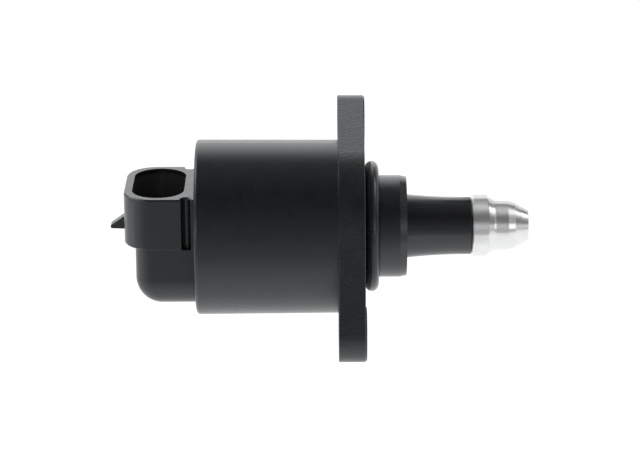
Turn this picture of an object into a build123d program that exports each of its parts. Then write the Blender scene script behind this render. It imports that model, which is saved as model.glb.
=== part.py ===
from build123d import *
from math import acos, cos, degrees, radians, sin, sqrt
import os

# Idle air control valve: a linear stepper motor in a moulded housing that slides a metal pintle.
# Millimetres. +X runs along the valve axis to the pintle's nose, +Z out of the connector's mouth.
# The origin is on the valve axis, in the plane of the two mounting pads.

# Round motor housing
housing_back_r = 16.5
housing_front_r = 16.35
housing_length = 26.68
housing_back_wall = 3.0
housing_bore_r = 14.2
housing_back_edge = 0.7
lead_channel_r = 15.05
lead_channel_half_width = 7.4

# Mounting flange, with ears on a slant across the connector's axis
flange_thickness = 4.97
flange_disc_r = 16.4
ear_r = 5.2
ear_slant_deg = 45.0
bolt_circle_d = 45.0
bolt_hole_r = 2.75
pad_r = 5.0
pad_height = 0.25
pad_edge = 0.1
flange_edge = 0.12

# Register and bearing boss on the back of the flange
register_wall = 2.2
register_clearance = 0.05
bearing_boss_wall = 1.5
bearing_shoulder = 1.0

# Spigot with its rubber ring
spigot_r = 9.6
spigot_length = 7.89
spigot_lead_length = 1.3
spigot_lead_depth = 0.28
ring_outer_r = 12.31
ring_half_width = 1.31
ring_face_gap = 0.05
ring_seat_depth = 0.3
ring_seat_fit = 0.05
ring_seat_margin = 0.15

# Guide neck, waisted towards its end
neck_length = 12.33
neck_root_r = 6.0
neck_middle_r = 5.52
neck_end_r = 5.42
neck_end_edge = 0.2

# Pintle, turned from one bar
pintle_gap = 0.13
collar_r = 5.75
collar_length = 2.83
collar_back_edge = 0.15
lip_length = 0.22
lip_r = 5.35
shoulder_length = 1.4
shoulder_fillet = 0.8
nose_root_r = 4.68
nose_length = 2.5
nose_front_r = 4.6
shank_length = 1.3
shank_front_r = 4.22
bevel_length = 1.2
bevel_front_r = 3.52
cone_length = 1.33
cone_front_r = 2.85
nose_edge = 0.15
pintle_bore_end_wall = 4.2

# Stem: a lead screw behind, two guiding flats in the neck, a plain tenon in the pintle
screw_r = 2.5
screw_length = 23.5
stem_r = 3.3
stem_flat_half = 2.7
tenon_r = 2.4
stem_shoulder_gap = 2.0
guide_clearance = 0.05
press_gap = 0.01
screw_tip_edge = 0.4
tenon_end_gap = 0.3

# Rotor
air_gap = 0.2
magnet_bore_r = 5.0
magnet_length = 14.0
hub_bore_clearance = 0.05
hub_relief = 0.25
hub_nut_length = 10.0
hub_shoulder_r = 4.4
hub_journal_r = 3.0
hub_journal_length = 2.9
hub_front_overhang = 0.2
rotor_back_shoulder = 0.55

# Rear bush and its spring washer
bush_r = 4.5
bush_length = 3.6
bush_seat_depth = 1.8
journal_clearance = 0.05
washer_thickness = 0.2
washer_dish = 0.3
washer_inner_r = 3.2
washer_outer_r = 4.4
washer_gap = 0.03

# Front ball bearing
bearing_bore_r = 3.5
bearing_outer_r = 6.5
bearing_width = 4.0
bearing_recess = 0.15
ball_r = 1.0
ball_count = 8
ball_clearance = 0.04
race_land = 0.55
cage_thickness = 0.5
cage_width = 2.6

# Stator: two claw-pole coils, back to back
stack_length = 9.0
stator_fit = 0.2
sheet = 0.8
claw_inner_r = 8.1
claw_count = 6
claw_root_width = 3.6
claw_tip_width = 2.0
claw_tip_gap = 0.35
sheet_fit = 0.05
lead_notch_depth = 3.2
lead_notch_half_width = 7.6

# Bobbins and windings
bobbin_wall = 0.9
bobbin_cheek = 0.6
bobbin_fit = 0.1
cheek_gap = 0.2
winding_margin = 0.8
winding_fit = 0.05
post_length = 2.6
post_width = 2.4
post_root = 0.9

# Connector shroud, with its socket facing +Z
shroud_length = 13.29
shroud_half_width = 10.8
shroud_top = 8.67
shroud_bottom = -1.15
shroud_corner_r = 5.6
rim_edge = 0.25
foot_edge = 0.25
socket_width = 9.74
socket_length = 18.8
socket_outer_wall = 1.5
socket_floor = 0.8
groove_width = 1.8
groove_depth = 1.6
groove_web = 0.65

# Base block under the shroud
base_length = 11.2
base_inset = 0.3
base_bottom = -12.98
base_bottom_r = 5.7
base_corner_r = 3.4

# Latch ramp on the shroud's end face
latch_half_width = 1.1
latch_reach = 2.92
latch_bottom = 0.0
latch_rise = 0.15
latch_tip_height = 0.55
latch_top = 2.78
latch_tip_edge = 0.25

# Terminals: bent strip blades, moulded into the housing
terminal_pitch = 4.0
blade_width = 1.6
blade_thickness = 0.6
blade_tip = 3.3
blade_tip_taper = 0.9
leg_height = -11.0
leg_step_depth = 1.9
leg_channel_gap = 0.3
insert_gap = 0.02

# Stations along the valve axis
flange_front = -pad_height
flange_back = flange_front - flange_thickness
housing_back = flange_back - housing_length
bore_back = housing_back + housing_back_wall
stator_front = bore_back + 2 * stack_length
stack_joint = bore_back + stack_length
spigot_front = flange_front + spigot_length
neck_front = spigot_front + neck_length
pintle_back = neck_front + pintle_gap
bush_back = bore_back - bush_seat_depth
bush_front = bush_back + bush_length
rotor_back = bush_front + washer_thickness + washer_dish
magnet_back = rotor_back + rotor_back_shoulder
magnet_front = magnet_back + magnet_length
bearing_back = stator_front + bearing_recess
bearing_front = bearing_back + bearing_width
race_r = (bearing_bore_r + bearing_outer_r) / 2
magnet_r = claw_inner_r - air_gap
stator_r = housing_bore_r - stator_fit
cup_inner_r = stator_r - sheet
cheek_r = cup_inner_r - cheek_gap
winding_r = cheek_r - winding_margin
shroud_end = housing_back - shroud_length
base_end = housing_back - base_length
socket_x = shroud_end + socket_outer_wall + socket_width / 2


def turned(points):
    """Solid of revolution about the valve axis from (x, radius) points."""
    return revolve(make_face(Plane.XZ * Polyline(*points, close=True)), Axis.X)


def tube(x0, x1, outer_r, inner_r):
    """Straight ring along the valve axis."""
    return turned([(x0, inner_r), (x1, inner_r), (x1, outer_r), (x0, outer_r)])


def rod(x0, x1, r):
    """Plain cylinder along the valve axis."""
    return turned([(x0, 0), (x1, 0), (x1, r), (x0, r)])


def block(x0, x1, y0, y1, z0, z1):
    """Box between two corners."""
    centre = Pos((x0 + x1) / 2, (y0 + y1) / 2, (z0 + z1) / 2)
    return centre * Box(x1 - x0, y1 - y0, z1 - z0)


def rings_at(shape, x, r, tolerance=0.02):
    """Circular edges about the valve axis at one station and radius."""
    found = ShapeList()
    for edge in shape.edges().filter_by(GeomType.CIRCLE):
        centre = edge.arc_center
        on_axis = abs(centre.Y) < tolerance and abs(centre.Z) < tolerance
        if on_axis and abs(centre.X - x) < tolerance and abs(edge.radius - r) < tolerance:
            found.append(edge)
    return found


def solid(shape):
    """The shape as one part, without leftover seams."""
    return Part() + shape.clean()


# Terminals

def leg_bottom(y):
    """Height of a leg's lower face where it runs in the housing's lead channel."""
    reach = lead_channel_r - leg_channel_gap
    return -sqrt(reach**2 - (abs(y) + blade_width / 2) ** 2)


def terminal(y, leg_end, gap=0.0):
    """One strip: blade up into the socket, leg through the back wall, step down into the channel."""
    half = blade_thickness / 2 + gap
    blade_x = socket_x
    step_x = bore_back - leg_step_depth + blade_thickness
    low = leg_bottom(y) - gap
    tip = blade_tip + gap
    lower_leg = low + 2 * half
    outline = [
        (blade_x - half, tip),
        (blade_x + half, tip),
        (blade_x + half, leg_height + half),
        (step_x + half, leg_height + half),
        (step_x + half, lower_leg),
        (leg_end + gap, lower_leg),
        (leg_end + gap, low),
        (step_x - half, low),
        (step_x - half, leg_height - half),
        (blade_x - half, leg_height - half),
    ]
    face = make_face(Plane.XZ * Polyline(*outline, close=True))
    strip = Pos(0, y, 0) * extrude(face, amount=blade_width / 2 + gap, both=True)
    if gap:
        return strip
    flanks = strip.edges().filter_by(Axis.X).group_by(Axis.Z)[-1]
    return chamfer(flanks, blade_width / 4, blade_tip_taper)


terminal_y = [terminal_pitch * (i - 1.5) for i in range(4)]
rear_post_x = bore_back + sheet + bobbin_fit
front_post_x = stack_joint + sheet + bobbin_fit
terminal_ends = [
    rear_post_x + post_length,
    front_post_x + post_length,
    front_post_x + post_length,
    rear_post_x + post_length,
]
terminals = [terminal(y, end) for y, end in zip(terminal_y, terminal_ends)]


# Rear housing

def housing_shell():
    """Round wall with a slight draft, closed at the back by a wall that seats the bush."""
    shell = turned(
        [
            (housing_back, 0),
            (housing_back, housing_back_r),
            (flange_back, housing_front_r),
            (flange_back, housing_bore_r),
            (bore_back, housing_bore_r),
            (bore_back, bush_r),
            (bush_back, bush_r),
            (bush_back, 0),
        ]
    )
    return fillet(rings_at(shell, housing_back, housing_back_r), housing_back_edge)


def lead_channel():
    """Shallow trough along the bottom of the bore for the terminal legs."""
    trough = rod(bore_back, flange_back, lead_channel_r)
    width = lead_channel_half_width
    return trough & block(bore_back, flange_back, -width, width, -housing_back_r, 0)


def connector_shroud():
    """Rounded box round the socket, joined to the back wall by a web between two grooves."""
    inner = (housing_back + bush_back) / 2
    width = shroud_half_width
    box = block(shroud_end, inner, -width, width, shroud_bottom, shroud_top)
    corners = box.edges().filter_by(Axis.Z).group_by(Axis.X)[0]
    box = fillet(corners, shroud_corner_r)
    groove_x = housing_back - groove_web - groove_width / 2
    for side in (-1, 1):
        floor_y = side * (width - groove_depth + groove_width / 2)
        height = shroud_top - shroud_bottom
        middle = (shroud_top + shroud_bottom) / 2
        box -= Pos(groove_x, floor_y, middle) * Cylinder(groove_width / 2, height)
        mouth_y = side * (width + groove_width)
        low_y, high_y = sorted((floor_y, mouth_y))
        left = groove_x - groove_width / 2
        box -= block(left, left + groove_width, low_y, high_y, shroud_bottom, shroud_top)
    rim = box.faces().sort_by(Axis.Z)[-1]
    box = chamfer(rim.outer_wire().edges(), rim_edge)
    foot = box.faces().sort_by(Axis.Z)[0].outer_wire().edges().sort_by(Axis.X)
    groove_start = groove_x - groove_width / 2
    outer_foot = [edge for edge in foot if edge.center().X < groove_start]
    return chamfer(outer_foot, foot_edge)


def connector_base():
    """Block under the shroud, rounded underneath and at its two corners."""
    inner = (housing_back + bush_back) / 2
    width = shroud_half_width - base_inset
    box = block(base_end, inner, -width, width, base_bottom, shroud_bottom)
    low_edges = box.edges().group_by(Axis.Z)[0]
    sides = low_edges.filter_by(Axis.X)
    toe = low_edges.filter_by(Axis.Y).sort_by(Axis.X)[0]
    box = fillet(sides + [toe], base_bottom_r)
    corners = box.edges().filter_by(Axis.Z).group_by(Axis.X)[0]
    return fillet(corners, base_corner_r)


def latch_ramp():
    """Wedge on the shroud's end face that a plug's clip rides over."""
    tip_x = shroud_end - latch_reach
    root_x = shroud_end + socket_outer_wall / 2
    outline = [
        (root_x, latch_bottom),
        (tip_x, latch_bottom + latch_rise),
        (tip_x, latch_bottom + latch_rise + latch_tip_height),
        (shroud_end, latch_top),
        (root_x, latch_top),
    ]
    face = make_face(Plane.XZ * Polyline(*outline, close=True))
    wedge = extrude(face, amount=latch_half_width, both=True)
    tip_edges = wedge.edges().filter_by(Axis.Y).group_by(Axis.X)[0]
    return fillet(tip_edges, latch_tip_edge)


def socket():
    """Oval mouth of the connector."""
    floor = shroud_bottom + socket_floor
    oval = SlotOverall(socket_length, socket_width, rotation=90)
    return Pos(socket_x, 0, floor) * extrude(oval, amount=shroud_top - floor)


rear_housing = housing_shell() - lead_channel()
rear_housing += connector_shroud()
rear_housing += connector_base()
rear_housing += latch_ramp()
rear_housing -= socket()
for y, end in zip(terminal_y, terminal_ends):
    rear_housing -= terminal(y, end, insert_gap)
rear_housing = solid(rear_housing)


# Front flange, spigot and neck

ear_l = bolt_circle_d / 2
ear_centres = [
    (side * ear_l * cos(radians(ear_slant_deg)), side * ear_l * sin(radians(ear_slant_deg)))
    for side in (1, -1)
]
across = Plane(origin=(0, 0, 0), x_dir=(0, 1, 0), z_dir=(1, 0, 0))


def flange_outline():
    """Disc and two ears joined by straight tangents, in the plane across the valve axis."""
    outline = Circle(flange_disc_r)
    spread = degrees(acos((flange_disc_r - ear_r) / ear_l))
    for index, (y, z) in enumerate(ear_centres):
        outline += Pos(y, z) * Circle(ear_r)
        middle = ear_slant_deg + 180 * index
        low = radians(middle - spread)
        high = radians(middle + spread)
        outline += make_face(
            Polyline(
                (flange_disc_r * cos(low), flange_disc_r * sin(low)),
                (y + ear_r * cos(low), z + ear_r * sin(low)),
                (y + ear_r * cos(high), z + ear_r * sin(high)),
                (flange_disc_r * cos(high), flange_disc_r * sin(high)),
                close=True,
            )
        )
    return outline


def flange_plate():
    """Two-eared plate with small broken edges and a raised pad round each bolt hole."""
    plane = across.offset(flange_back)
    plate = extrude(plane * flange_outline(), amount=flange_thickness)
    front_edges = plate.faces().sort_by(Axis.X)[-1].edges()
    back_edges = plate.faces().sort_by(Axis.X)[0].edges()
    plate = chamfer(front_edges + back_edges, flange_edge)
    for y, z in ear_centres:
        seat = across.offset(flange_front) * Pos(y, z)
        pad = extrude(seat * Circle(pad_r), amount=pad_height)
        pad_rim = pad.faces().sort_by(Axis.X)[-1].edges()
        plate += chamfer(pad_rim, pad_edge)
    for y, z in ear_centres:
        hole = extrude(plane * Pos(y, z) * Circle(bolt_hole_r), amount=flange_thickness + pad_height)
        plate -= hole
    return plate


def front_boss():
    """Register ring, bearing boss, spigot and waisted neck, turned about the valve axis."""
    register_r = housing_bore_r - register_clearance
    boss_r = bearing_outer_r + bearing_boss_wall
    seat_r = spigot_r - ring_seat_depth
    seat_end = flange_front + ring_face_gap + 2 * ring_half_width + ring_seat_margin
    lead_start = spigot_front - spigot_lead_length
    back_lines = Polyline(
        (flange_front, 0),
        (bearing_back, 0),
        (bearing_back, boss_r),
        (flange_back, boss_r),
        (flange_back, register_r - register_wall),
        (stator_front, register_r - register_wall),
        (stator_front, register_r),
        (flange_back, register_r),
        (flange_front, register_r),
        (flange_front, seat_r),
        (seat_end, seat_r),
        (seat_end, spigot_r),
        (lead_start, spigot_r),
        (spigot_front, spigot_r - spigot_lead_depth),
        (spigot_front, neck_root_r),
    )
    neck_middle = (spigot_front + neck_front) / 2
    waist = ThreePointArc(
        (spigot_front, neck_root_r),
        (neck_middle, neck_middle_r),
        (neck_front, neck_end_r),
    )
    end_line = Polyline((neck_front, neck_end_r), (neck_front, 0), (flange_front, 0))
    boss = revolve(make_face(Plane.XZ * (back_lines + waist + end_line)), Axis.X)
    return chamfer(rings_at(boss, neck_front, neck_end_r), neck_end_edge)


def stem_section(r, flat_half):
    """Round section with two flats, across the valve axis."""
    return Circle(r) & Rectangle(2 * r, 2 * flat_half)


front_flange = flange_plate() + front_boss()
guide = stem_section(stem_r + guide_clearance, stem_flat_half + guide_clearance)
bearing_seat_r = bearing_outer_r + press_gap
relief_r = bearing_outer_r - bearing_shoulder
guide_start = bearing_front + bearing_shoulder
front_flange -= extrude(across.offset(guide_start) * guide, amount=neck_front - guide_start)
front_flange -= rod(bearing_back, bearing_front, bearing_seat_r)
front_flange -= rod(bearing_front, guide_start, relief_r)
front_flange = solid(front_flange)

ring_x = flange_front + ring_face_gap + ring_half_width
ring_inner_r = spigot_r - ring_seat_depth + ring_seat_fit
ring_half_height = (ring_outer_r - ring_inner_r) / 2
ring_centre_r = (ring_outer_r + ring_inner_r) / 2
ring_section = Pos(ring_x, ring_centre_r) * Ellipse(ring_half_width, ring_half_height)
spigot_o_ring = revolve(Plane.XZ * ring_section, Axis.X)


# Pintle and stem

lip_start = pintle_back + collar_length
shoulder_start = lip_start + lip_length
nose_start = lip_start + shoulder_length
shank_start = nose_start + nose_length
bevel_start = shank_start + shank_length
cone_start = bevel_start + bevel_length
nose_end = cone_start + cone_length
tenon_bore_end = nose_end - pintle_bore_end_wall

pintle_tip = turned(
    [
        (pintle_back, tenon_r + press_gap),
        (tenon_bore_end, tenon_r + press_gap),
        (tenon_bore_end, 0),
        (nose_end, 0),
        (nose_end, cone_front_r),
        (cone_start, bevel_front_r),
        (bevel_start, shank_front_r),
        (shank_start, nose_front_r),
        (nose_start, nose_root_r),
        (shoulder_start, lip_r),
        (lip_start, lip_r),
        (lip_start, collar_r),
        (pintle_back, collar_r),
    ]
)
pintle_tip = chamfer(rings_at(pintle_tip, pintle_back, collar_r), collar_back_edge)
pintle_tip = fillet(rings_at(pintle_tip, nose_end, cone_front_r), nose_edge)
pintle_tip = fillet(rings_at(pintle_tip, nose_start, nose_root_r), shoulder_fillet)

stem_back = guide_start + stem_shoulder_gap
screw_back = stem_back - screw_length
stem_face = across.offset(stem_back) * stem_section(stem_r, stem_flat_half)
lead_screw = extrude(stem_face, amount=pintle_back - stem_back)
lead_screw += rod(screw_back, stem_back, screw_r)
lead_screw += rod(pintle_back, tenon_bore_end - tenon_end_gap, tenon_r)
lead_screw = solid(chamfer(rings_at(lead_screw, screw_back, screw_r), screw_tip_edge))


# Rotor

hub_back = rotor_back - hub_journal_length
hub_front = bearing_front + hub_front_overhang
nut_r = screw_r + hub_bore_clearance
relief_bore_r = nut_r + hub_relief
nut_back = (magnet_back + magnet_front - hub_nut_length) / 2
rotor_hub = turned(
    [
        (hub_back, relief_bore_r),
        (hub_back, hub_journal_r),
        (rotor_back, hub_journal_r),
        (rotor_back, hub_shoulder_r),
        (magnet_back, hub_shoulder_r),
        (magnet_back, magnet_bore_r - press_gap),
        (magnet_front, magnet_bore_r - press_gap),
        (magnet_front, hub_shoulder_r),
        (bearing_back, hub_shoulder_r),
        (bearing_back, bearing_bore_r - press_gap),
        (hub_front, bearing_bore_r - press_gap),
        (hub_front, relief_bore_r),
        (nut_back + hub_nut_length, relief_bore_r),
        (nut_back + hub_nut_length, nut_r),
        (nut_back, nut_r),
        (nut_back, relief_bore_r),
    ]
)
rotor_magnet = tube(magnet_back, magnet_front, magnet_r, magnet_bore_r)

rear_bush = tube(bush_back, bush_front, bush_r - press_gap, hub_journal_r + journal_clearance)
washer_rise = rotor_back - bush_front - washer_thickness - washer_gap
preload_washer = turned(
    [
        (bush_front, washer_outer_r),
        (bush_front + washer_rise, washer_inner_r),
        (bush_front + washer_rise + washer_thickness, washer_inner_r),
        (bush_front + washer_thickness, washer_outer_r),
    ]
)


# Front ball bearing

bearing_x = (bearing_back + bearing_front) / 2
groove = revolve(
    Plane.XZ * Pos(bearing_x, race_r) * Circle(ball_r + ball_clearance), Axis.X
)
inner_land_r = race_r - race_land
outer_land_r = race_r + race_land
bearing_inner_ring = tube(bearing_back, bearing_front, inner_land_r, bearing_bore_r) - groove
bearing_outer_ring = tube(bearing_back, bearing_front, bearing_outer_r, outer_land_r) - groove
ball_places = [360 / ball_count * i for i in range(ball_count)]
bearing_balls = Part() + [
    Rot(angle, 0, 0) * Pos(bearing_x, 0, race_r) * Sphere(ball_r) for angle in ball_places
]
cage_low = race_r - cage_thickness / 2
cage_high = race_r + cage_thickness / 2
ball_cage = tube(bearing_x - cage_width / 2, bearing_x + cage_width / 2, cage_high, cage_low)
for angle in ball_places:
    ball_cage -= Rot(angle, 0, 0) * Pos(bearing_x, 0, race_r) * Sphere(ball_r + ball_clearance)


# Stator

claw_outer_r = claw_inner_r + sheet


def lead_notch(x0, x1):
    """Flat cut-away under a stator sheet, where the leads pass."""
    width = lead_notch_half_width
    return block(x0, x1, -width, width, -housing_back_r, -stator_r + lead_notch_depth)


def claws(root_x, tip_x, turn_deg):
    """Ring of tapered teeth bent along the valve axis from root to tip."""
    ring = tube(min(root_x, tip_x), max(root_x, tip_x), claw_outer_r, claw_inner_r)
    tooth = make_face(
        Plane.XY
        * Polyline(
            (root_x, -claw_root_width / 2),
            (root_x, claw_root_width / 2),
            (tip_x, claw_tip_width / 2),
            (tip_x, -claw_tip_width / 2),
            close=True,
        )
    )
    wedge = extrude(Pos(0, 0, claw_inner_r / 2) * tooth, amount=claw_outer_r)
    pitch = 360 / claw_count
    return [ring & (Rot(turn_deg + pitch * i, 0, 0) * wedge) for i in range(claw_count)]


def stator_cup(end_x, rim_x, turn_deg):
    """Drawn steel cup: outer wall, end sheet and inward row of claws."""
    way = 1 if rim_x > end_x else -1
    inside = end_x + way * sheet
    cup = turned(
        [
            (end_x, claw_inner_r),
            (end_x, stator_r),
            (rim_x, stator_r),
            (rim_x, cup_inner_r),
            (inside, cup_inner_r),
            (inside, claw_inner_r),
        ]
    )
    cup -= lead_notch(min(end_x, rim_x), max(end_x, rim_x))
    cup += claws(inside, rim_x - way * (sheet + claw_tip_gap), turn_deg)
    return solid(cup)


def claw_plate(face_x, way, turn_deg):
    """Flat steel ring that closes a cup, with its own row of claws reaching back into it."""
    inside = face_x + way * sheet
    low, high = sorted((face_x, inside))
    plate = tube(low, high, cup_inner_r - sheet_fit, claw_inner_r)
    plate -= lead_notch(low, high)
    tip = face_x + way * (stack_length - sheet - claw_tip_gap)
    plate += claws(inside, tip, turn_deg)
    return solid(plate)


def bobbin(low_x, high_x, post_ys):
    """Moulded spool with two cheeks and the posts that its wire ends are joined to."""
    tube_r = claw_outer_r + bobbin_fit
    spool = turned(
        [
            (low_x, tube_r),
            (high_x, tube_r),
            (high_x, cheek_r),
            (high_x - bobbin_cheek, cheek_r),
            (high_x - bobbin_cheek, tube_r + bobbin_wall),
            (low_x + bobbin_cheek, tube_r + bobbin_wall),
            (low_x + bobbin_cheek, cheek_r),
            (low_x, cheek_r),
        ]
    )
    for y in post_ys:
        top = -sqrt(cheek_r**2 - (abs(y) - post_width / 2) ** 2) + post_root
        bottom = leg_bottom(y) + blade_thickness
        half = post_width / 2
        spool += block(low_x, low_x + post_length, y - half, y + half, bottom, top)
    return solid(spool)


def winding(low_x, high_x):
    """Coil of enamelled wire, filling the spool between its cheeks."""
    inner_r = claw_outer_r + bobbin_fit + bobbin_wall + winding_fit
    gap = bobbin_cheek + winding_fit
    return tube(low_x + gap, high_x - gap, winding_r, inner_r)


claw_pitch = 360 / claw_count
half_step = claw_pitch / 4
stator_cup_rear = stator_cup(bore_back, stack_joint, 0)
claw_plate_rear = claw_plate(stack_joint, -1, claw_pitch / 2)
stator_cup_front = stator_cup(stator_front, stack_joint, half_step)
claw_plate_front = claw_plate(stack_joint, 1, half_step + claw_pitch / 2)
rear_low = bore_back + sheet + bobbin_fit
rear_high = stack_joint - sheet - bobbin_fit
front_low = stack_joint + sheet + bobbin_fit
front_high = stator_front - sheet - bobbin_fit
bobbin_rear = bobbin(rear_low, rear_high, [terminal_y[0], terminal_y[3]])
bobbin_front = bobbin(front_low, front_high, [terminal_y[1], terminal_y[2]])
winding_rear = winding(rear_low, rear_high)
winding_front = winding(front_low, front_high)


# One file per piece

nodes = {
    "rear_housing": rear_housing,
    "front_flange": front_flange,
    "spigot_o_ring": spigot_o_ring,
    "pintle_tip": pintle_tip,
    "lead_screw": lead_screw,
    "rotor_hub": rotor_hub,
    "rotor_magnet": rotor_magnet,
    "rear_bush": rear_bush,
    "preload_washer": preload_washer,
    "bearing_outer_ring": bearing_outer_ring,
    "bearing_inner_ring": bearing_inner_ring,
    "bearing_balls": bearing_balls,
    "ball_cage": ball_cage,
    "stator_cup_rear": stator_cup_rear,
    "claw_plate_rear": claw_plate_rear,
    "bobbin_rear": bobbin_rear,
    "winding_rear": winding_rear,
    "stator_cup_front": stator_cup_front,
    "claw_plate_front": claw_plate_front,
    "bobbin_front": bobbin_front,
    "winding_front": winding_front,
}
for number, strip in enumerate(terminals, start=1):
    nodes[f"terminal_{number}"] = strip

os.makedirs("parts", exist_ok=True)
for name, shape in nodes.items():
    export_step(shape, f"parts/{name}.step")
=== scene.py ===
from math import cos, pi, radians, sin

import bpy
from mathutils import Matrix, Vector


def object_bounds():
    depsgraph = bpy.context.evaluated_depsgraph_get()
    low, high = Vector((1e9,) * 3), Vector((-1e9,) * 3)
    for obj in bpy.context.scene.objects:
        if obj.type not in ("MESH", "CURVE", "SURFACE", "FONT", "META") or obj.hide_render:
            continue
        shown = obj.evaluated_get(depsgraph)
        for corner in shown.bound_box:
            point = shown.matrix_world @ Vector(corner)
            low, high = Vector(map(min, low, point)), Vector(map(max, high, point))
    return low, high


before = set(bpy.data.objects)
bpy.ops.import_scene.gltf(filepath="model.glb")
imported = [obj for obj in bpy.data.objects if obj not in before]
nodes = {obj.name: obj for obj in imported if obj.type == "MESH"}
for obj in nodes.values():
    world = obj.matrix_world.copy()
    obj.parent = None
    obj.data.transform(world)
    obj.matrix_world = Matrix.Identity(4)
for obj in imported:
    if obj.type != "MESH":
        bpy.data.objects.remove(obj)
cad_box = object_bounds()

MM = 0.001
scene = bpy.context.scene
scene.view_settings.view_transform = "Standard"

# Camera, at the photograph's viewing angle

IMAGE_WIDTH = 640
PIXELS_PER_MM = 5.288
CAMERA_DISTANCE = 540.0 * MM
CAMERA_ELEVATION = radians(18.0)
CAMERA_ROLL = radians(0.27)
AIM_X = -8.62 * MM
AIM_DROP = 0.34 * MM
SENSOR_WIDTH = 36.0
CLIP_START = 0.01
CLIP_END = 20.0


def make_camera():
    """Long lens in front of the valve, looking down on it a little."""
    data = bpy.data.cameras.new("camera")
    camera = bpy.data.objects.new("camera", data)
    scene.collection.objects.link(camera)
    away = Vector((0, -cos(CAMERA_ELEVATION), sin(CAMERA_ELEVATION)))
    up = Vector((0, sin(CAMERA_ELEVATION), cos(CAMERA_ELEVATION)))
    aim = Vector((AIM_X, 0, 0)) - AIM_DROP * up
    camera.location = aim + CAMERA_DISTANCE * away
    tilt = Matrix.Rotation(pi / 2 - CAMERA_ELEVATION, 4, "X")
    camera.rotation_euler = (tilt @ Matrix.Rotation(-CAMERA_ROLL, 4, "Z")).to_euler()
    data.sensor_width = SENSOR_WIDTH
    data.lens = SENSOR_WIDTH * CAMERA_DISTANCE / (IMAGE_WIDTH / PIXELS_PER_MM * MM)
    data.clip_start = CLIP_START
    data.clip_end = CLIP_END
    scene.camera = camera


# Node helpers

class Graph:
    """A node tree, with short calls to add nodes and links."""

    def __init__(self, tree):
        self.tree = tree

    def add(self, kind, **settings):
        node = self.tree.nodes.new("ShaderNode" + kind)
        for name, value in settings.items():
            setattr(node, name, value)
        return node

    def link(self, source, target):
        self.tree.links.new(source, target)

    def math(self, operation, first, second=None):
        node = self.add("Math", operation=operation)
        for socket, value in zip(node.inputs, (first, second)):
            if value is None:
                continue
            if isinstance(value, (int, float)):
                socket.default_value = value
            else:
                self.link(value, socket)
        return node.outputs["Value"]

    def within(self, value, middle, half):
        """1 where the value lies within a distance of the middle, and 0 elsewhere."""
        node = self.add("Math", operation="COMPARE")
        self.link(value, node.inputs[0])
        node.inputs[1].default_value = middle
        node.inputs[2].default_value = half
        return node.outputs["Value"]

    def span(self, value, low, high, to_low, to_high, smooth=False):
        """Value carried from one range to another, and held at its ends."""
        node = self.add("MapRange")
        if smooth:
            node.interpolation_type = "SMOOTHSTEP"
        self.link(value, node.inputs["Value"])
        node.inputs["From Min"].default_value = low
        node.inputs["From Max"].default_value = high
        node.inputs["To Min"].default_value = to_low
        node.inputs["To Max"].default_value = to_high
        return node.outputs["Result"]

    def place(self):
        return self.add("TexCoord").outputs["Object"]

    def split(self, vector):
        """The X, Y and Z of a vector, as outputs by name."""
        node = self.add("SeparateXYZ")
        self.link(vector, node.inputs["Vector"])
        return node.outputs

    def noise(self, size, detail):
        """Cloudy noise with features of about the given size in metres."""
        node = self.add("TexNoise")
        node.inputs["Scale"].default_value = 1.0 / size
        node.inputs["Detail"].default_value = detail
        self.link(self.place(), node.inputs["Vector"])
        return node.outputs["Fac"]

    def blend(self, factor, first, second):
        node = self.add("Mix", data_type="RGBA")
        self.link(factor, node.inputs["Factor"])
        for name, value in (("A", first), ("B", second)):
            if isinstance(value, tuple):
                node.inputs[name].default_value = (*value, 1)
            else:
                self.link(value, node.inputs[name])
        return node.outputs["Result"]

    def bump(self, height, depth, normal):
        node = self.add("Bump")
        node.inputs["Strength"].default_value = 1.0
        node.inputs["Distance"].default_value = depth
        self.link(height, node.inputs["Height"])
        self.link(normal, node.inputs["Normal"])
        return node.outputs["Normal"]

    def show(self, shader):
        """Shader output as what the surface shows."""
        self.link(shader, self.tree.nodes["Material Output"].inputs["Surface"])


def new_material(name):
    material = bpy.data.materials.new(name)
    material.use_nodes = True
    return material, Graph(material.node_tree), material.node_tree.nodes["Principled BSDF"]


# Floor and light

FLOOR_DROP = 40.0 * MM
FLOOR_SIZE = 6.0
FLOOR_COLOUR = (0.82, 0.82, 0.82, 1)
FLOOR_ROUGHNESS = 0.9
FLOOR_GLOW_SHARE = 0.96

# What the floor shows in reflections: from and to along Y or X in metres, and the level at each end
TABLE_SIDE_LEVEL = 1.09
TABLE_NEAR = (-0.16, -0.015, 0.0, 0.58)
TABLE_FAR = (-0.6, -0.1, 0.31, 0.506)
TABLE_LEFT = (-0.26, -0.1, TABLE_SIDE_LEVEL, 0.0)
TABLE_RIGHT = (0.004, 0.035, 0.0, TABLE_SIDE_LEVEL)
TABLE_SIDE_DEPTH = (-0.21, -0.15, 0.4, 1.0)

# What the studio shows: from and to as an angle from the front over the top, and the level at each end
FRONT = (0.0, radians(50), 0.26, 0.06)
CROWN = (radians(60), radians(100), 0.0, 0.1)
BACK = (radians(110), radians(146), 0.0, 1.3)
SIDE_LOW = (radians(23), radians(29), 1.0, 0.3)
SIDE_HIGH = (radians(61), radians(113), 0.0, 0.98)
SIDE_END = (radians(130), radians(146), 0.0, 1.0)

# The same by how far aside a direction points, from 0 square to the valve to 1 along it
BACK_WIDTH = (0.3, 0.55, 1.0, 0.4)
SIDE_RISE = (0.41, 0.53, 0.0, 2.07)
SIDE_DROP = (0.72, 0.86, 0.0, 1.6)

# Cards behind the nose: name, place, size, tilt in degrees and level
CARDS = (
    ("flag", (0.075, 0.036, 0.0455), (0.115, 0.021), -43, 0.04),
    ("backing", (0.079, 0.058, 0.0185), (0.115, 0.071), -90, 0.76),
)

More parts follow.
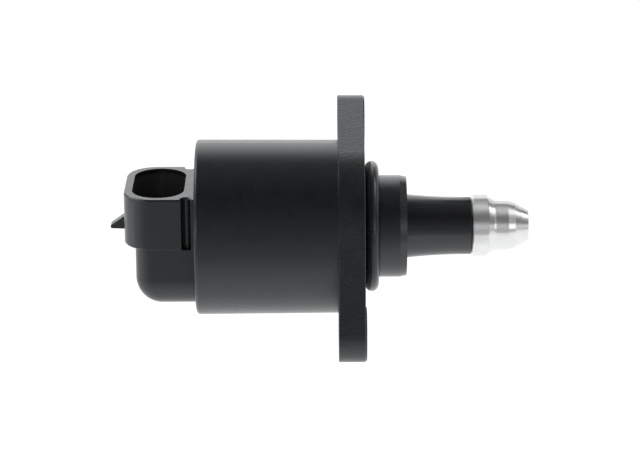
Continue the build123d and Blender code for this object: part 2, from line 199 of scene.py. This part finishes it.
# Lamps: name, place, size and power
LAMPS = (
    ("top_light", (0.0, 0.15, 1.0), (0.9, 0.9), 4.0),
    ("front_fill", (-0.2, -0.9, 0.5), (0.8, 0.6), 3.0),
)


def make_floor():
    """White table, which shows white to the camera, glows in reflections and keeps a faint shadow."""
    bpy.ops.mesh.primitive_plane_add(size=FLOOR_SIZE, location=(0, 0, cad_box[0][2] - FLOOR_DROP))
    floor = bpy.context.object
    floor.name = "floor"
    material, graph, shader = new_material("floor_white")
    shader.inputs["Base Color"].default_value = FLOOR_COLOUR
    shader.inputs["Roughness"].default_value = FLOOR_ROUGHNESS
    place = graph.split(graph.place())
    near = graph.span(place["Y"], *TABLE_NEAR, smooth=True)
    far = graph.span(place["Y"], *TABLE_FAR)
    left = graph.span(place["X"], *TABLE_LEFT, smooth=True)
    right = graph.span(place["X"], *TABLE_RIGHT, smooth=True)
    depth = graph.span(place["Y"], *TABLE_SIDE_DEPTH, smooth=True)
    aside = graph.math("MULTIPLY", graph.math("MAXIMUM", left, right), depth)
    reach = graph.math("MAXIMUM", graph.math("ADD", near, far), aside)
    path = graph.add("LightPath").outputs
    glow = graph.add("Emission")
    graph.link(graph.math("MAXIMUM", reach, path["Is Camera Ray"]), glow.inputs["Strength"])
    shown = graph.math("MAXIMUM", path["Is Camera Ray"], path["Is Glossy Ray"])
    shown = graph.math("MAXIMUM", shown, path["Is Transmission Ray"])
    mix = graph.add("MixShader")
    graph.link(graph.math("MULTIPLY", shown, FLOOR_GLOW_SHARE), mix.inputs["Fac"])
    graph.link(shader.outputs["BSDF"], mix.inputs[1])
    graph.link(glow.outputs["Emission"], mix.inputs[2])
    graph.show(mix.outputs["Shader"])
    floor.data.materials.append(material)


def make_world():
    """White behind the object, a broad glow above the back and at the sides, dim in front."""
    world = bpy.data.worlds.new("studio")
    scene.world = world
    world.use_nodes = True
    graph = Graph(world.node_tree)
    direction = graph.split(graph.add("TexCoord").outputs["Generated"])
    forward = graph.math("MULTIPLY", direction["Y"], -1.0)
    swing = graph.math("ARCTAN2", direction["Z"], forward)
    sideways = graph.math("ABSOLUTE", direction["X"])
    front = graph.span(swing, *FRONT, smooth=True)
    crown = graph.span(swing, *CROWN, smooth=True)
    back = graph.span(swing, *BACK, smooth=True)
    width = graph.span(sideways, *BACK_WIDTH, smooth=True)
    middle = graph.math("ADD", graph.math("ADD", front, crown), graph.math("MULTIPLY", back, width))
    rise = graph.span(sideways, *SIDE_RISE, smooth=True)
    drop = graph.span(sideways, *SIDE_DROP, smooth=True)
    low = graph.span(swing, *SIDE_LOW, smooth=True)
    high = graph.span(swing, *SIDE_HIGH, smooth=True)
    end = graph.span(swing, *SIDE_END, smooth=True)
    share = graph.math("SUBTRACT", graph.math("ADD", low, high), end)
    sides = graph.math("MULTIPLY", graph.math("SUBTRACT", rise, drop), share)
    level = graph.math("MAXIMUM", middle, sides)
    camera_ray = graph.add("LightPath").outputs["Is Camera Ray"]
    unseen = graph.math("SUBTRACT", 1.0, camera_ray)
    shown = graph.math("ADD", graph.math("MULTIPLY", level, unseen), camera_ray)
    background = world.node_tree.nodes["Background"]
    background.inputs["Color"].default_value = (1, 1, 1, 1)
    graph.link(shown, background.inputs["Strength"])


def make_card(name, place, size, tilt, level):
    """Card behind the nose, seen only in reflections."""
    bpy.ops.mesh.primitive_plane_add(size=1.0, location=place)
    card = bpy.context.object
    card.name = name
    card.scale = (*size, 1)
    card.rotation_euler = (radians(tilt), 0, 0)
    material, graph, _ = new_material(name)
    glow = graph.add("Emission")
    glow.inputs["Strength"].default_value = level
    graph.show(glow.outputs["Emission"])
    card.data.materials.append(material)
    card.visible_camera = False
    card.visible_diffuse = False
    card.visible_shadow = False


def make_lamp(name, place, size, power):
    """Soft lamp that lights the object but isn't seen in its gloss."""
    data = bpy.data.lights.new(name, "AREA")
    data.shape = "RECTANGLE"
    data.size, data.size_y = size
    data.energy = power
    lamp = bpy.data.objects.new(name, data)
    lamp.location = place
    lamp.rotation_euler = (-Vector(place)).to_track_quat("-Z", "Y").to_euler()
    lamp.visible_camera = False
    lamp.visible_glossy = False
    scene.collection.objects.link(lamp)


make_camera()
make_floor()
make_world()
for card in CARDS:
    make_card(*card)
for lamp in LAMPS:
    make_lamp(*lamp)

# Materials

COOL_GLOSS = (0.89, 0.94, 1.0, 1)
CLOUD_DETAIL = 4.0
CLOUD_SPAN = (0.3, 0.7)
GRAIN_DETAIL = 3.0
EDGE_SAMPLES = 6

MOULDED_CLOUD = 3.0 * MM
MOULDED_GAIN = 1.4
MOULDED_LIFT = 0.0005

TURNED_CLOUD = 1.5 * MM
TURNED_SPREAD = 0.04
TURNED_EDGE = 0.08 * MM
PLATING_INDEX = 3.4
PLATING_ROUGHNESS = 0.12
QUARTER_TURN = 0.25


def rounded_edges(graph, radius):
    """Normals that run softly over sharp edges, as on a moulded or turned piece."""
    node = graph.add("Bevel", samples=EDGE_SAMPLES)
    node.inputs["Radius"].default_value = radius
    return node.outputs["Normal"]


def moulded(name, colour, roughness, spread, grain, depth, index=1.65, edge=0.12 * MM):
    """Moulded plastic or rubber: faint clouds in colour and gloss over a fine grain."""
    material, graph, shader = new_material(name)
    shader.inputs["IOR"].default_value = index
    shader.inputs["Specular Tint"].default_value = COOL_GLOSS
    lighter = tuple(min(1.0, MOULDED_GAIN * c + MOULDED_LIFT) for c in colour)
    clouds = graph.noise(MOULDED_CLOUD, CLOUD_DETAIL)
    graph.link(graph.blend(clouds, colour, lighter), shader.inputs["Base Color"])
    gloss = graph.span(clouds, *CLOUD_SPAN, roughness - spread, roughness + spread)
    graph.link(gloss, shader.inputs["Roughness"])
    fine = graph.noise(grain, GRAIN_DETAIL)
    graph.link(graph.bump(fine, depth, rounded_edges(graph, edge)), shader.inputs["Normal"])
    return material, graph, shader, gloss


# The socket's inside, as a box round the valve's Y plane
SOCKET_X = -39.0 * MM
SOCKET_HALF_X = 4.9 * MM
SOCKET_HALF_Y = 9.6 * MM
SOCKET_TOP = 7.8 * MM
SOCKET_BOTTOM = -0.6 * MM


def paint_socket_light(graph, shader, painted_light):
    """Paler skin inside the connector's socket: painted light, standing in for light bouncing round the
    socket.
    """
    place = graph.split(graph.place())
    along = graph.within(place["X"], SOCKET_X, SOCKET_HALF_X)
    across = graph.within(place["Y"], 0.0, SOCKET_HALF_Y)
    below = graph.math("LESS_THAN", place["Z"], SOCKET_TOP)
    above = graph.math("GREATER_THAN", place["Z"], SOCKET_BOTTOM)
    level = graph.math("MULTIPLY", below, above)
    inside = graph.math("MULTIPLY", graph.math("MULTIPLY", along, across), level)
    skin = shader.inputs["Base Color"].links[0].from_socket
    graph.link(graph.blend(inside, skin, painted_light), shader.inputs["Base Color"])


PLATE_FACE = 0.0 * MM
NECK_START = 7.7 * MM
SKIN_BLEND = 0.2 * MM


def polish_neck(graph, shader, gloss, polished, smoothed):
    """Finer grain in front of the flange plate, and glossier skin on the guide neck."""
    along = graph.split(graph.place())["X"]
    share = graph.span(along, NECK_START - SKIN_BLEND, NECK_START + SKIN_BLEND, 1.0, polished)
    graph.link(graph.math("MULTIPLY", gloss, share), shader.inputs["Roughness"])
    grain = shader.inputs["Normal"].links[0].from_node.inputs["Distance"]
    depth = grain.default_value
    finer = graph.span(along, PLATE_FACE - SKIN_BLEND, PLATE_FACE + SKIN_BLEND, depth, depth * smoothed)
    graph.link(finer, grain)


def turned_metal(name, colour, darker, roughness, groove, depth, stretch=0.0):
    """Turned metal: fine rings round the valve axis, and where stretched, a plated skin over them."""
    material, graph, shader = new_material(name)
    shader.inputs["Metallic"].default_value = 1.0
    if stretch:
        shader.inputs["Coat Weight"].default_value = 1.0
        shader.inputs["Coat IOR"].default_value = PLATING_INDEX
        shader.inputs["Coat Roughness"].default_value = PLATING_ROUGHNESS
        round_axis = graph.add("Tangent", direction_type="RADIAL", axis="X")
        graph.link(round_axis.outputs["Tangent"], shader.inputs["Tangent"])
        shader.inputs["Anisotropic"].default_value = stretch
        shader.inputs["Anisotropic Rotation"].default_value = QUARTER_TURN
    rings = graph.add("TexNoise", noise_dimensions="1D")
    rings.inputs["Scale"].default_value = 1.0 / groove
    rings.inputs["Detail"].default_value = GRAIN_DETAIL
    graph.link(graph.split(graph.place())["X"], rings.inputs["W"])
    clouds = graph.noise(TURNED_CLOUD, CLOUD_DETAIL)
    graph.link(graph.blend(clouds, darker, colour), shader.inputs["Base Color"])
    gloss = graph.span(clouds, *CLOUD_SPAN, roughness - TURNED_SPREAD, roughness + TURNED_SPREAD)
    graph.link(gloss, shader.inputs["Roughness"])
    normal = graph.bump(rings.outputs["Fac"], depth, rounded_edges(graph, TURNED_EDGE))
    graph.link(normal, shader.inputs["Normal"])
    return material, graph, shader, normal


THREAD_FLANK = (0.06, 0.44, 0.0, 1.0)


def cut_thread(graph, shader, normal, pitch, depth, end):
    """Single-start thread on the stem, up to where its guiding flats begin."""
    place = graph.split(graph.place())
    angle = graph.math("ARCTAN2", place["Y"], place["Z"])
    turns = graph.math("MULTIPLY", angle, 1 / (2 * pi))
    along = graph.math("ADD", graph.math("MULTIPLY", place["X"], 1 / pitch), turns)
    flank = graph.span(graph.math("PINGPONG", along, 0.5), *THREAD_FLANK)
    crest = graph.math("MULTIPLY", flank, graph.math("LESS_THAN", place["X"], end))
    graph.link(graph.bump(crest, depth, normal), shader.inputs["Normal"])


def dress(made, *names):
    for name in names:
        slots = nodes[name].data.materials
        slots.clear()
        slots.append(made[0])


# Mouldings and rubber

BLACK = (0.0046, 0.0048, 0.0052)
# Painted light: a paler black for the socket's inside, standing in for light bouncing round it
SOCKET_PAINTED_LIGHT = (0.02, 0.0204, 0.0212)
RUBBER = (0.009, 0.009, 0.0096)
FERRITE = (0.035, 0.033, 0.033)
NATURAL = (0.5, 0.48, 0.42)

housing = moulded("housing_black", BLACK, roughness=0.28, spread=0.02, grain=0.16 * MM, depth=0.004 * MM)
paint_socket_light(housing[1], housing[2], SOCKET_PAINTED_LIGHT)
dress(housing, "rear_housing")

flange = moulded("flange_black", BLACK, roughness=0.27, spread=0.03, grain=0.36 * MM, depth=0.08 * MM,
                 index=1.7, edge=0.05 * MM)
polish_neck(*flange[1:], polished=0.75, smoothed=0.25)
dress(flange, "front_flange")

ring = moulded("ring_black", RUBBER, roughness=0.26, spread=0.04, grain=0.2 * MM, depth=0.003 * MM, index=1.5)
dress(ring, "spigot_o_ring")

magnet = moulded("ferrite", FERRITE, roughness=0.55, spread=0.06, grain=0.1 * MM, depth=0.004 * MM)
dress(magnet, "rotor_magnet")

bobbin = moulded("bobbin_natural", NATURAL, roughness=0.45, spread=0.05, grain=0.2 * MM, depth=0.002 * MM,
                 index=1.5)
dress(bobbin, "bobbin_rear", "bobbin_front")

# Metals, each with a paler and a darker tone

PLATED = ((0.94, 0.945, 0.95), (0.89, 0.895, 0.905))
SCREW = ((0.62, 0.62, 0.63), (0.5, 0.5, 0.51))
BEARING = ((0.66, 0.66, 0.67), (0.54, 0.54, 0.55))
BRASS = ((0.78, 0.6, 0.3), (0.66, 0.48, 0.22))
SHEET = ((0.55, 0.56, 0.57), (0.45, 0.46, 0.47))
COPPER = ((0.62, 0.27, 0.11), (0.5, 0.2, 0.08))
TIN = ((0.72, 0.72, 0.7), (0.6, 0.6, 0.58))

pintle = turned_metal("pintle_bright", *PLATED, roughness=0.45, groove=0.12 * MM, depth=0.003 * MM,
                      stretch=1.0)
dress(pintle, "pintle_tip")

screw = turned_metal("screw_steel", *SCREW, roughness=0.28, groove=0.1 * MM, depth=0.002 * MM)
cut_thread(*screw[1:], pitch=1.0 * MM, depth=0.35 * MM, end=-3.75 * MM)
dress(screw, "lead_screw")

steel = turned_metal("bearing_steel", *BEARING, roughness=0.2, groove=0.1 * MM, depth=0.001 * MM)
dress(steel, "bearing_outer_ring", "bearing_inner_ring", "bearing_balls", "preload_washer")

brass = turned_metal("brass", *BRASS, roughness=0.3, groove=0.15 * MM, depth=0.003 * MM)
dress(brass, "rotor_hub", "ball_cage", "rear_bush")

sheet = turned_metal("sheet_steel", *SHEET, roughness=0.35, groove=0.3 * MM, depth=0.001 * MM)
dress(sheet, "stator_cup_rear", "stator_cup_front", "claw_plate_rear", "claw_plate_front")

copper = turned_metal("enamelled_copper", *COPPER, roughness=0.25, groove=0.2 * MM, depth=0.03 * MM)
dress(copper, "winding_rear", "winding_front")

tin = turned_metal("tinned_strip", *TIN, roughness=0.25, groove=0.4 * MM, depth=0.001 * MM)
dress(tin, *(f"terminal_{i}" for i in range(1, 5)))
